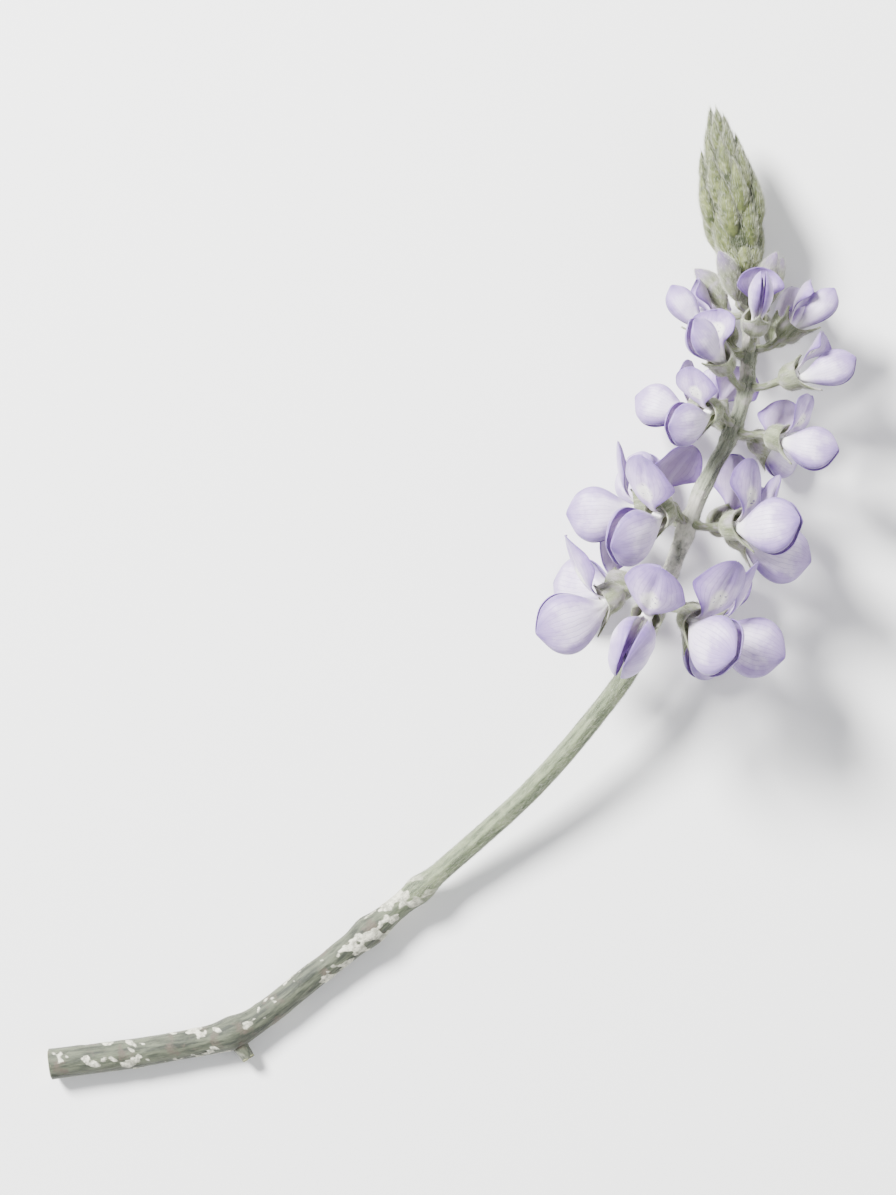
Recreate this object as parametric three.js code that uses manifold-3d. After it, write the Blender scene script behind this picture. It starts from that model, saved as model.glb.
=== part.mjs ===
// A lupin flower spike, picked with its stem and lying on a flat surface.
// Millimetres, +Z up. The surface is z = 0 and the tip of the spike points along +Y.
//
// One stem carries a cone of closed buds at its tip, then a ring of closed buds, a ring of
// opening buds and three whorls of open blooms. Each bloom is a green calyx on a stalk and a
// corolla of five petals: a banner, two wings and, between the wings, the joined keel.
import * as THREE from "three";
import { mergeVertices } from "three/addons/utils/BufferGeometryUtils.js";
import Module from "manifold-3d";

const wasm = await Module();
wasm.setup();

// ---- driving dimensions -------------------------------------------------------------------

// Centreline of the stem, from the cut end to the base of the bud cone.
const STEM_ROUTE = [
  [-54.9, -69.6, 2.25],
  [-38.9, -67.4, 2.25],
  [-27.3, -64.6, 2.2],
  [-17.2, -57.3, 2.3],
  [-5.5, -47.8, 3.2],
  [4.6, -39.1, 4.9],
  [15.5, -29.0, 7.6],
  [24.2, -18.8, 10.4],
  [29.8, -10.9, 12.4],
  [34.0, -0.8, 13.7],
  [39.2, 13.0, 13.7],
  [45.2, 25.4, 12.4],
  [46.8, 35.7, 11.4],
  [45.9, 44.5, 11.0],
];
const CONE_TIP = [41.8, 69.6, 9.4];
const ORIGIN_SHIFT = [-3.34, 1.215, 0]; // brings the middle of the spike's footprint to x = y = 0

const CUT_RADIUS = 2.3; // of the woody foot, at the cut
const STALK_RADIUS = 1.45; // of the bare flower stalk
const TIP_RADIUS = 0.95; // of the stem under the bud cone
const WOODY_LENGTH = 52; // from the cut to where the flower stalk starts
const KNOTS = [27, 52, 62]; // distances of the knots on the woody foot from the cut

const CONE_WIDTH = 11;
const CONE_BUDS = 34;
const BLADE = 0.6; // thickness of petals and of the calyx
const SEAT_GAP = 0.3; // clearance between pieces that touch

const BLOOM_STALK_RADIUS = 0.5;
const CUP_RADIUS = 1.75; // of the mouth of the calyx, inside
const CUP_MOUTH = 2.5; // distance of the mouth of the calyx from its foot
const BANNER_HALF_WIDTH = 4.7;
const WING_BULGE = 2.2;

// Whorls from the lowest up. along: distance below the bud cone. open: 0 is a bud, 1 a fully
// open bloom. rise and tilt: how far the stalks and the blooms point towards the tip of the
// spike, in degrees. blooms: angle round the stem, with 0 to the right and 90 straight up, and
// the bloom's own extra tilt.
const WHORLS = [
  {
    kind: "bloom",
    along: 49.5,
    size: 1.1,
    open: 1.0,
    rise: 6,
    tilt: -16,
    stalk: 4.0,
    blooms: [[8, 10], [52, 4], [100, -26], [162, -30], [222, 0], [316, 0]],
  },
  {
    kind: "bloom",
    along: 37,
    size: 1.06,
    open: 0.95,
    rise: 14,
    tilt: 2,
    stalk: 3.8,
    blooms: [[38, 16], [130, -44], [190, -30], [231, 4], [310, 4], [350, -2]],
  },
  {
    kind: "bloom",
    along: 22,
    size: 0.92,
    open: 0.8,
    rise: 16,
    tilt: 8,
    stalk: 3.2,
    blooms: [[22, 0], [134, -46], [204, -14], [242, 4], [314, 0]],
  },
  {
    kind: "opening_bud",
    along: 16.2,
    size: 1.0,
    open: 0.45,
    rise: 24,
    tilt: 26,
    stalk: 3.4,
    blooms: [[20, 0], [132, 0]],
  },
  {
    kind: "opening_bud",
    along: 10.5,
    size: 0.96,
    open: 0.26,
    rise: 28,
    tilt: 47,
    stalk: 3.0,
    blooms: [[12, 0], [88, 0], [172, 0], [234, 0], [320, 0]],
  },
  {
    kind: "closed_bud",
    along: 4.6,
    size: 0.64,
    open: 0,
    rise: 28,
    tilt: 60,
    stalk: 1.8,
    blooms: [[48, 0], [120, 0], [192, 0], [264, 0], [336, 0]],
  },
];

const COLOURS = { stem: 0xa9ad98, cone: 0xa3a886, calyx: 0xb4b8a4, petals: 0xb9aed0, bud: 0xadb09a };

// ---- small helpers ------------------------------------------------------------------------

const radians = THREE.MathUtils.degToRad;
const { clamp, lerp, smoothstep } = THREE.MathUtils;
const vector = (x, y, z) => new THREE.Vector3(x, y, z);

// The direction at an angle from the direction a towards the direction b.
function around(a, b, angle) {
  return a.clone().multiplyScalar(Math.cos(angle)).addScaledVector(b, Math.sin(angle));
}

// A repeatable number from -1 to 1 for draw number k of piece number seed.
function jitter(seed, k) {
  const n = Math.sin(seed * 12.9898 + k * 78.233) * 43758.5453;
  return 2 * (n - Math.floor(n)) - 1;
}

// A cubic curve in a flower's own side view, from four points [y, z]: its place and its slope.
function sideCurve(points, u) {
  const w = 1 - u;
  const place = [w * w * w, 3 * w * w * u, 3 * w * u * u, u * u * u];
  const slope = [-w * w, w * w - 2 * w * u, 2 * w * u - u * u, u * u];
  const sum = (weights, i) => weights.reduce((total, weight, k) => total + weight * points[k][i], 0);
  return { y: sum(place, 0), z: sum(place, 1), dy: sum(slope, 0), dz: sum(slope, 1) };
}

// The four points of a side curve between its form in a bud and its form in an open bloom.
const between = (bud, bloom, open) => bud.map((p, k) => p.map((value, i) => lerp(value, bloom[k][i], open)));

// Six times the volume inside the triangles, negative where they face inwards.
function volumeInside(points, triangles) {
  let total = 0;
  for (let i = 0; i < triangles.length; i += 3) {
    const [a, b, c] = triangles.slice(i, i + 3).map((k) => points[k]);
    total += a.dot(b.clone().cross(c));
  }
  return total;
}

// A closed geometry from points and triangles, its faces turned outwards: doubled points are
// merged and flat triangles dropped.
function geometryOf(points, triangles) {
  const loose = new THREE.BufferGeometry();
  loose.setAttribute("position", new THREE.Float32BufferAttribute(points.flatMap((p) => [p.x, p.y, p.z]), 3));
  loose.setIndex(triangles);
  const geometry = mergeVertices(loose, 1e-4);
  const index = geometry.index.array;
  const outwards = volumeInside(points, triangles) > 0;
  const kept = [];
  for (let i = 0; i < index.length; i += 3) {
    const [a, b, c] = index.subarray(i, i + 3);
    if (a === b || b === c || a === c) continue;
    kept.push(a, ...(outwards ? [b, c] : [c, b]));
  }
  geometry.setIndex(kept);
  return geometry;
}

function solidOf(geometry) {
  const vertProperties = new Float32Array(geometry.attributes.position.array);
  const triVerts = new Uint32Array(geometry.index.array);
  return new wasm.Manifold(new wasm.Mesh({ numProp: 3, vertProperties, triVerts }));
}

function geometryFrom(solid) {
  const mesh = solid.getMesh();
  const geometry = new THREE.BufferGeometry();
  geometry.setAttribute("position", new THREE.BufferAttribute(new Float32Array(mesh.vertProperties), 3));
  geometry.setIndex(new THREE.BufferAttribute(new Uint32Array(mesh.triVerts), 1));
  return geometry;
}

const fuse = (geometries) => wasm.Manifold.union(geometries.map(solidOf));

// The largest body of a solid, with close points welded: scraps are dropped, sealed hollows filled.
function wholeBody(solid) {
  const welded = solidOf(mergeVertices(geometryFrom(solid), 2e-3));
  return welded.decompose().reduce((best, body) => (body.volume() > best.volume() ? body : best));
}

// ---- surfaces -----------------------------------------------------------------------------

// A thin blade: a grid on a middle surface, thickened both ways along its normal. middle(u, v)
// gives a point for u along the blade from 0 to 1 and v across it from -1 to 1. The grid is
// finer towards u = 1, and both faces are split into triangles alike.
function blade(middle, alongSteps, acrossSteps, thickness) {
  const STEP = 1e-3;
  const columns = acrossSteps + 1;
  const count = (alongSteps + 1) * columns;
  const points = new Array(2 * count);
  for (let i = 0; i <= alongSteps; i++) {
    const u = Math.sin((Math.PI / 2) * (i / alongSteps));
    const inside = Math.min(u, 1 - STEP);
    for (let j = 0; j <= acrossSteps; j++) {
      const v = (2 * j) / acrossSteps - 1;
      const alongEdge = middle(inside + STEP, v).sub(middle(inside, v));
      const acrossEdge = middle(inside, Math.min(v + STEP, 1)).sub(middle(inside, Math.max(v - STEP, -1)));
      const normal = acrossEdge.cross(alongEdge).normalize().multiplyScalar(thickness / 2);
      points[i * columns + j] = middle(u, v).add(normal);
      points[count + i * columns + j] = middle(u, v).sub(normal);
    }
  }
  const triangles = [];
  const quad = (a, b, c, d) => triangles.push(a, b, c, a, c, d);
  for (let i = 0; i < alongSteps; i++) {
    for (let j = 0; j < acrossSteps; j++) {
      const a = i * columns + j;
      const [b, c, d] = [a + 1, a + columns + 1, a + columns];
      triangles.push(a, b, c, a, c, d);
      triangles.push(count + a, count + c, count + b, count + a, count + d, count + c);
    }
    const [left, right] = [i * columns, i * columns + acrossSteps];
    quad(left + columns, count + left + columns, count + left, left);
    quad(right, count + right, count + right + columns, right + columns);
  }
  for (let j = 0; j < acrossSteps; j++) {
    const end = alongSteps * columns + j;
    quad(j, count + j, count + j + 1, j + 1);
    quad(end + 1, count + end + 1, count + end, end);
  }
  return geometryOf(points, triangles);
}

// A closed skin of rings of points, its two ends closed by fans. pointAt(i, angle) gives the
// point of ring i at an angle round it.
function skin(ringCount, sides, pointAt, turn = 0) {
  const points = [];
  for (let i = 0; i < ringCount; i++) {
    for (let j = 0; j < sides; j++) points.push(pointAt(i, (2 * Math.PI * (j + turn)) / sides));
  }
  const middleOf = (ring) => {
    const sum = vector(0, 0, 0);
    for (const point of points.slice(ring * sides, (ring + 1) * sides)) sum.add(point);
    return sum.divideScalar(sides);
  };
  const first = ringCount * sides;
  points.push(middleOf(0), middleOf(ringCount - 1));
  const triangles = [];
  for (let j = 0; j < sides; j++) {
    const next = (j + 1) % sides;
    for (let a = 0; a < (ringCount - 1) * sides; a += sides) {
      triangles.push(a + j, a + next, a + sides + next, a + j, a + sides + next, a + sides + j);
    }
    const last = (ringCount - 1) * sides;
    triangles.push(first, next, j, first + 1, last + j, last + next);
  }
  return geometryOf(points, triangles);
}

// A tube of rings along a line: at(t) gives {centre, side, up, half} for t from 0 to 1, with half
// the two half sizes of the ring, or a radius for each angle.
function tube(steps, sides, at, turn = 0) {
  const stations = Array.from({ length: steps + 1 }, (_, i) => at(i / steps));
  return skin(
    steps + 1,
    sides,
    (i, angle) => {
      const { centre, side, up, half } = stations[i];
      const [a, b] = typeof half === "function" ? [half(angle), half(angle)] : half;
      const across = side.clone().multiplyScalar(a * Math.cos(angle));
      return across.add(centre).addScaledVector(up, b * Math.sin(angle));
    },
    turn,
  );
}

// ---- the stem -----------------------------------------------------------------------------

const route = new THREE.CatmullRomCurve3(STEM_ROUTE.map((p) => vector(...p)));
route.arcLengthDivisions = 2000;
const STEM_LENGTH = route.getLength();

// Place and directions at a distance from the cut end: along the stem, to its right and upwards.
function stemFrame(distance) {
  const share = clamp(distance / STEM_LENGTH, 0, 1);
  const along = route.getTangentAt(share);
  const up = vector(0, 0, 1).addScaledVector(along, -along.z).normalize();
  const side = new THREE.Vector3().crossVectors(along, up);
  return { centre: route.getPointAt(share), along, up, side };
}

function stemRadius(distance) {
  const woody = lerp(CUT_RADIUS, 1.85, Math.min(distance / WOODY_LENGTH, 1));
  const green = lerp(STALK_RADIUS, TIP_RADIUS, Math.max(0, (distance - 90) / (STEM_LENGTH - 90)));
  const knots = KNOTS.map((at) => 0.5 * Math.exp(-(((distance - at) / 2.2) ** 2)));
  return lerp(woody, green, smoothstep(distance, WOODY_LENGTH, WOODY_LENGTH + 14)) + Math.max(...knots);
}

// Every bloom and bud on the stem, from the table of whorls.
const flowers = [];
for (const whorl of WHORLS) {
  for (const [angle, extraTilt] of whorl.blooms) {
    const seed = flowers.length + 1;
    flowers.push({
      ...whorl,
      number: flowers.filter((other) => other.kind === whorl.kind).length + 1,
      seed,
      angle: radians(angle),
      distance: STEM_LENGTH - whorl.along + 0.7 * jitter(seed, 1),
      rise: radians(whorl.rise),
      tilt: radians(whorl.tilt + extraTilt),
      roll: radians(7 * jitter(seed, 2)),
      size: whorl.size * (1 + 0.03 * jitter(seed, 3)),
    });
  }
}

// The swelling of the stem under the stalk of each bloom.
function seatSwelling(distance, angle) {
  const swellings = flowers.map((flower) => {
    const turn = Math.atan2(Math.sin(angle - flower.angle), Math.cos(angle - flower.angle));
    return 0.35 * Math.exp(-(((distance - flower.distance) / 1.3) ** 2) - (turn / 0.5) ** 2);
  });
  return Math.max(...swellings);
}

function stem() {
  const BARE_STEPS = 22;
  const BLOOM_STEPS = 28;
  const SIDES = 10;
  const bare = STEM_LENGTH - WHORLS[0].along - 5.5;
  const distanceAt = (i) => {
    if (i < BARE_STEPS) return (bare * i) / BARE_STEPS;
    return lerp(bare, STEM_LENGTH, (i - BARE_STEPS) / BLOOM_STEPS);
  };
  const steps = BARE_STEPS + BLOOM_STEPS;
  const main = tube(
    steps,
    SIDES,
    (t) => {
      const distance = distanceAt(t * steps);
      const half = (angle) => stemRadius(distance) + seatSwelling(distance, angle);
      return { ...stemFrame(distance), half };
    },
    0.5,
  );
  return fuse([main, twigStub()]);
}

// The stub of a side twig at the first knot, to the right of the stem.
function twigStub() {
  const { centre, along, side, up } = stemFrame(KNOTS[0]);
  return tube(2, 7, (t) => {
    const radius = lerp(1.5, 1.05, t);
    return {
      centre: centre.clone().addScaledVector(side, lerp(0.5, 4.4, t)).addScaledVector(along, 0.9 * t),
      side: along,
      up,
      half: [radius, radius],
    };
  });
}

// ---- one flower, in its own frame: x to its side, y forwards, z towards its banner ------------

// Side views, from the foot of the petals outwards, in a bud and in an open bloom.
const BANNER_BUD = [[1.4, 0.1], [4.2, 1.9], [8.6, 3.4], [11.8, 0.8]];
const BANNER_BLOOM = [[1.4, 0.1], [4.2, -0.1], [5.0, 5.0], [3.6, 9.8]];
const WING_TOP_BUD = [[1.6, -0.3], [6.0, -1.2], [7.0, 1.6], [10.8, -0.4]];
const WING_TOP_BLOOM = [[1.6, -0.1], [5.0, -0.8], [6.8, 7.4], [12.5, 1.3]];
const WING_FOOT_BUD = [[1.6, -0.5], [5.0, -1.1], [8.5, -4.2], [10.8, -1.0]];
const WING_FOOT_BLOOM = [[1.6, -0.3], [4.0, -1.4], [9.2, -8.4], [12.5, -1.0]];
const KEEL_BUD = [[1.6, -0.3], [5.5, -1.2], [8.6, -1.4], [9.4, 0.2]];
const KEEL_BLOOM = [[1.6, -0.3], [6.0, -2.4], [10.2, -2.4], [10.8, 1.0]];

const roundTip = (u, from) => Math.sqrt(Math.max(0, 1 - (Math.max(0, u - from) / (1 - from)) ** 2));

// A point off the middle line of the banner, forwards of its face.
function bannerLine(open, u, forwards) {
  const { y, z, dy, dz } = sideCurve(between(BANNER_BUD, BANNER_BLOOM, open), u);
  const length = Math.hypot(dy, dz);
  return vector(0, y + (forwards * dz) / length, z - (forwards * dy) / length);
}

// The banner: its sides fold back when it is open and wrap round the wings in a bud.
function bannerSurface({ open, seed }, u, v) {
  const outline = Math.max(lerp(0.14, 1, smoothstep(u, 0.31, 0.7)) * roundTip(u, 0.55), 0.12);
  const bend = lerp(-2.0, 0.75, open);
  const radius = BANNER_HALF_WIDTH / (Math.abs(bend) < 0.05 ? 0.05 : bend);
  const angle = (BANNER_HALF_WIDTH * outline * v) / radius;
  const wave = 0.3 * jitter(seed, 4) * u * u * v;
  const point = bannerLine(open, u, -radius * (1 - Math.cos(angle)) + wave);
  point.x = radius * Math.sin(angle);
  return point;
}

// One wing, cupped outwards. side is 1 or -1. The two leave a slit above and nearly meet below.
function wingSurface({ open }, side, u, v) {
  const top = sideCurve(between(WING_TOP_BUD, WING_TOP_BLOOM, open), u);
  const foot = sideCurve(between(WING_FOOT_BUD, WING_FOOT_BLOOM, open), u);
  const belly = lerp(0.45, 1, open) * Math.sin(Math.PI * u ** 1.5);
  const slit = 0.3 * Math.max(0, v) * belly;
  const x = 0.42 + WING_BULGE * belly * Math.sqrt(1 - v * v) + slit;
  return vector(side * x, lerp(foot.y, top.y, (1 + v) / 2), lerp(foot.z, top.z, (1 + v) / 2));
}

// The keel: a slim boat between the wings whose beak turns up.
function keel(open) {
  const line = between(KEEL_BUD, KEEL_BLOOM, open);
  return tube(3, 4, (t) => {
    const { y, z, dy, dz } = sideCurve(line, t);
    const length = Math.hypot(dy, dz);
    const swell = lerp(0.4, 1, Math.sin(Math.PI * t));
    return {
      centre: vector(0, y, z),
      side: vector(-1, 0, 0),
      up: vector(0, -dz / length, dy / length),
      half: [0.42 * swell, 0.85 * swell],
    };
  });
}

// The petals of one flower, joined at their foot, which sits in the cup of the calyx.
function corolla(flower) {
  const thickness = BLADE / flower.size;
  const foot = tube(1, 6, (t) => ({
    centre: vector(0, lerp(1.3, 2.7, t), -0.15 * t),
    side: vector(-1, 0, 0),
    up: vector(0, 0, 1),
    half: [lerp(0.8, 0.95, t), lerp(0.8, 0.9, t)],
  }));
  const [bannerSteps, wingSteps] = flower.kind === "bloom" ? [5, 4] : [4, 3];
  const banner = blade((u, v) => bannerSurface(flower, u, v), bannerSteps, 4, thickness);
  const wing = (side) => blade((u, v) => wingSurface(flower, side, u, v), wingSteps, 3, thickness);
  return fuse([foot, banner, wing(1), wing(-1), keel(flower.open)]);
}

// The calyx: the bloom's stalk, a cup, and the cup's mouth drawn out into an upper and a lower lip.
function calyx({ open, size, stalkLine }) {
  const STALK_RINGS = 3;
  const wall = BLADE / size;
  const clear = (1.3 * SEAT_GAP) / size;
  const lipTip = (angle, out) => {
    if (Math.sin(angle) > 0) return bannerLine(open, 0.42, -(wall / 2 + clear + out));
    const wing = sideCurve(between(WING_FOOT_BUD, WING_FOOT_BLOOM, open), 0.4);
    return vector(0, wing.y, wing.z - wall / 2 - clear - out);
  };
  const circle = (angle, y, radius) => vector(-radius * Math.cos(angle), y, radius * Math.sin(angle));
  const lip = (angle, y, radius, out) => {
    const drawn = Math.sin(angle) ** 4;
    return circle(angle, y, radius).lerp(lipTip(angle, out), drawn);
  };
  const stations = [
    (angle) => circle(angle, 0, 1.2),
    (angle) => circle(angle, 1.0, CUP_RADIUS + wall - 0.1),
    (angle) => circle(angle, CUP_MOUTH, CUP_RADIUS + wall),
    (angle) => lip(angle, CUP_MOUTH + 0.3, CUP_RADIUS + wall, wall),
    (angle) => lip(angle, CUP_MOUTH + 0.3, CUP_RADIUS, 0),
    (angle) => circle(angle, 1.3 - clear, 1.3),
  ];
  const stalkRadius = BLOOM_STALK_RADIUS / size;
  return skin(STALK_RINGS + stations.length, 8, (i, angle) => {
    if (i >= STALK_RINGS) return stations[i - STALK_RINGS](angle);
    const t = i / STALK_RINGS;
    const along = stalkLine.getTangent(t);
    const side = vector(-1, 0, 0).addScaledVector(along, along.x).normalize();
    const up = new THREE.Vector3().crossVectors(along, side);
    side.multiplyScalar(stalkRadius * Math.cos(angle));
    return stalkLine.getPoint(t).add(side).addScaledVector(up, stalkRadius * Math.sin(angle));
  });
}

// A closed bud: a plump bent almond on its stalk, with a ridge down its back.
function closedBud({ size, stalkLine }) {
  const STALK_RINGS = 2;
  const BUD_RINGS = 6;
  const LENGTH = 12.5;
  const stalkRadius = BLOOM_STALK_RADIUS / size;
  return skin(STALK_RINGS + BUD_RINGS, 8, (i, angle) => {
    const t = (i - STALK_RINGS + 0.35) / (BUD_RINGS - 0.65);
    if (i < STALK_RINGS) {
      const start = stalkLine.getPoint(i / STALK_RINGS);
      return start.add(vector(-stalkRadius * Math.cos(angle), 0, stalkRadius * Math.sin(angle)));
    }
    const swell = Math.sin(Math.PI * t) ** 0.75;
    const ridge = 1 + 0.12 * Math.max(0, Math.sin(angle)) ** 4;
    const height = 1.2 * Math.sin(2.8 * t) + 2.6 * swell * ridge * Math.sin(angle);
    return vector(-2.3 * swell * Math.cos(angle), LENGTH * t, height);
  });
}

// ---- the place of a flower on the stem --------------------------------------------------------

// The matrix from a flower's own frame to its place, and the line of its stalk in its own frame.
function place(flower, tilt) {
  const { centre, along, up, side } = stemFrame(flower.distance);
  const outwards = around(side, up, flower.angle);
  const seat = stemRadius(flower.distance) + seatSwelling(flower.distance, flower.angle) + SEAT_GAP;
  const start = centre.clone().addScaledVector(outwards, seat);
  const foot = start
    .clone()
    .addScaledVector(outwards, flower.stalk * Math.cos(flower.rise))
    .addScaledVector(along, flower.stalk * Math.sin(flower.rise));
  const forwards = around(outwards, along, tilt);
  const banner = around(outwards, along, tilt + Math.PI / 2);
  banner.applyAxisAngle(forwards, flower.roll);
  const matrix = new THREE.Matrix4()
    .makeBasis(new THREE.Vector3().crossVectors(forwards, banner), forwards, banner)
    .scale(vector(flower.size, flower.size, flower.size))
    .setPosition(foot);
  const own = matrix.clone().invert();
  const stalkLine = new THREE.CubicBezierCurve3(
    start.clone(),
    start.clone().addScaledVector(outwards, 0.35 * flower.stalk),
    foot.clone().addScaledVector(forwards, -0.4 * flower.stalk),
    foot.clone(),
  );
  for (const point of [stalkLine.v0, stalkLine.v1, stalkLine.v2, stalkLine.v3]) point.applyMatrix4(own);
  return { matrix, stalkLine };
}

// Where a bloom would reach below the surface it is bent along the stem until it rests on it.
function settle(flower) {
  const DEEPEST = -0.4; // how far its petals press into the surface, where they are cut flat
  const MOST_BEND = 80; // degrees
  const BEND_STEP = 0.25;
  const reach = [];
  for (const u of [0.6, 0.8, 1]) {
    for (const v of [-1, -0.7, 0, 0.7, 1]) {
      reach.push(wingSurface(flower, 1, u, v), wingSurface(flower, -1, u, v), bannerSurface(flower, u, v));
    }
  }
  const turn = flower.tilt < 0 ? -1 : 1;
  for (let bend = 0; bend < MOST_BEND; bend += BEND_STEP) {
    const placed = place(flower, flower.tilt + turn * radians(bend));
    const heights = reach.map((p) => p.clone().applyMatrix4(placed.matrix).z);
    if (Math.min(...heights) - BLADE / 2 > DEEPEST) return placed;
  }
  throw new Error(`${flower.kind} ${flower.number} can't be laid on the surface`);
}

// ---- the cone of closed buds at the tip -----------------------------------------------------

// Buds round a core, each a golden angle on from the one below. The middle line of a bud leaves
// the core at its lean and bends back, by s - 0.7 s^2, so that its tip lies against the next bud.
function budCone() {
  const GOLDEN = Math.PI * (3 - Math.sqrt(5));
  const tip = vector(...CONE_TIP);
  const end = stemFrame(STEM_LENGTH);
  const base = end.centre.clone().addScaledVector(end.along, SEAT_GAP);
  const length = base.distanceTo(tip);
  const along = tip.clone().sub(base).normalize();
  const up = vector(0, 0, 1).addScaledVector(along, -along.z).normalize();
  const side = new THREE.Vector3().crossVectors(along, up);
  const coreRadius = (t) => 0.4 * CONE_WIDTH * Math.sin(Math.PI * lerp(0.2, 1, t)) ** 0.8;
  const core = tube(7, 8, (t) => {
    const r = t === 0 ? TIP_RADIUS : Math.max(coreRadius(t), 0.3);
    return { centre: base.clone().addScaledVector(along, 0.9 * length * t), side, up, half: [r, r] };
  });
  const buds = Array.from({ length: CONE_BUDS }, (_, i) => {
    const t = (i + 0.5) / CONE_BUDS;
    const share = 0.02 + 0.8 * t ** 0.9;
    const lean = radians(lerp(20, 3, t));
    const out = around(side, up, GOLDEN * i);
    const across = new THREE.Vector3().crossVectors(along, out);
    const budLength = lerp(8.2, 4.6, t);
    const halfWidth = lerp(1.65, 0.75, t);
    const root = base.clone().addScaledVector(along, share * length);
    root.addScaledVector(out, lerp(0.6, 1, smoothstep(t, 0, 0.3)) * lerp(0.95, 0.25, t) * coreRadius(share));
    return tube(3, 4, (s) => {
      const swell = Math.sin(Math.PI * Math.min(s, 0.999) ** 0.72) ** 0.9;
      const lift = budLength * Math.sin(lean) * (s - 0.7 * s * s);
      const bend = Math.atan2(Math.sin(lean) * (1 - 1.4 * s), Math.cos(0.6 * lean));
      return {
        centre: root
          .clone()
          .addScaledVector(along, budLength * Math.cos(0.6 * lean) * s)
          .addScaledVector(out, lift),
        side: around(out, along, -bend),
        up: across,
        half: [0.72 * halfWidth * swell, halfWidth * swell],
      };
    });
  });
  return fuse([core, ...buds]);
}

// ---- assembly -----------------------------------------------------------------------------

const spike = new THREE.Group();
spike.position.set(...ORIGIN_SHIFT);

// Adds a solid as one named mesh, cut flat where it presses on the surface below.
function add(name, solid, colour, roughness) {
  const rested = wholeBody(solid).trimByPlane([0, 0, 1], 0);
  const material = new THREE.MeshStandardMaterial({ color: colour, roughness, metalness: 0 });
  const mesh = new THREE.Mesh(geometryFrom(wholeBody(rested)), material);
  mesh.name = name;
  spike.add(mesh);
}

add("stem", stem(), COLOURS.stem, 0.7);
add("bud_cone", budCone(), COLOURS.cone, 0.85);
for (const flower of flowers) {
  const { matrix, stalkLine } = settle(flower);
  const placed = (solid) => solid.transform(matrix.elements);
  const name = `${flower.kind}_${String(flower.number).padStart(2, "0")}`;
  if (flower.kind === "closed_bud") {
    add(name, placed(solidOf(closedBud({ ...flower, stalkLine }))), COLOURS.bud, 0.85);
  } else {
    add(`${name}_calyx`, placed(solidOf(calyx({ ...flower, stalkLine }))), COLOURS.calyx, 0.85);
    add(`${name}_petals`, placed(corolla(flower)), COLOURS.petals, 0.6);
  }
}

export default spike;
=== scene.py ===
"""A lupin flower spike, cut with its stem and lying on a pale surface.

Lengths are worked out in millimetres in the plant's own frame and put into the meshes in metres.
Every shape is a function of two parameters on a grid. A flower is shaped in a frame of its own:
x to its side, y forwards out of the calyx and z towards the banner.
"""
import math
from functools import partial
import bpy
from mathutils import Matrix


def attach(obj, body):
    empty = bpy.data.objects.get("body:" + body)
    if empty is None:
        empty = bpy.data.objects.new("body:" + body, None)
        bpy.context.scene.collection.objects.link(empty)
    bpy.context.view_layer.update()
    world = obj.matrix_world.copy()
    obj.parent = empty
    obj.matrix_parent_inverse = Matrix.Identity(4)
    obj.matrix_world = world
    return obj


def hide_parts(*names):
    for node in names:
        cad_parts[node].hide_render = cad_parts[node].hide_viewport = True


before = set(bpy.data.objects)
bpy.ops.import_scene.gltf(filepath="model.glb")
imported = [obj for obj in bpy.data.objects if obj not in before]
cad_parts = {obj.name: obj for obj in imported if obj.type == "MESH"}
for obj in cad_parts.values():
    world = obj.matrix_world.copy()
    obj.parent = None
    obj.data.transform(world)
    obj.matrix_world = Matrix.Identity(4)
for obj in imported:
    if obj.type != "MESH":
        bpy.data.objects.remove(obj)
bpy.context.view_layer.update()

from types import SimpleNamespace

import bpy
import numpy as np
from mathutils import Matrix

# ---- sizes in millimetres ----

METRES = 1e-3
ORIGIN_SHIFT = np.array([-3.34, 1.215, 0.0])  # from the plant's own frame to the shared one

STEM_ROUTE = np.array([
    [-54.9, -69.6, 2.25], [-38.9, -67.4, 2.25], [-27.3, -64.6, 2.2], [-17.2, -57.3, 2.3],
    [-5.5, -47.8, 3.2], [4.6, -39.1, 4.9], [15.5, -29.0, 7.6], [24.2, -18.8, 10.4],
    [29.8, -10.9, 12.4], [34.0, -0.8, 13.7], [39.2, 13.0, 13.7], [45.2, 25.4, 12.4],
    [46.8, 35.7, 11.4], [45.9, 44.5, 11.0],
])
CONE_TIP = np.array([41.8, 69.6, 9.4])
CUT_RADIUS = 2.3            # of the woody foot, at the cut
FOOT_END_RADIUS = 1.85      # of the woody foot, where it turns into the stalk
STALK_RADIUS = 1.45
TIP_RADIUS = 0.95           # of the stem under the cone
TAPER_START = 90.0          # distance from the cut at which the stalk starts to narrow
WOODY_LENGTH = 52.0
KNOTS = (27.0, 52.0, 62.0)  # distances from the cut
FLAKIEST = 58.0             # distance from the cut of the bark that flakes most
CONE_WIDTH = 11.0
CONE_BUDS = 34
SEAT_GAP = 0.3
BLOOM_STALK_RADIUS = 0.5
CUP_MOUTH = 2.5
BANNER_HALF_WIDTH = 4.7
WING_BULGE = 2.2
SOLID_BLADE = 0.6           # thickness of the solids' petals, which the lips of the calyx clear
PETAL = 0.24                # thickness of a petal here, as grown
CALYX_WALL = 0.3

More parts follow.
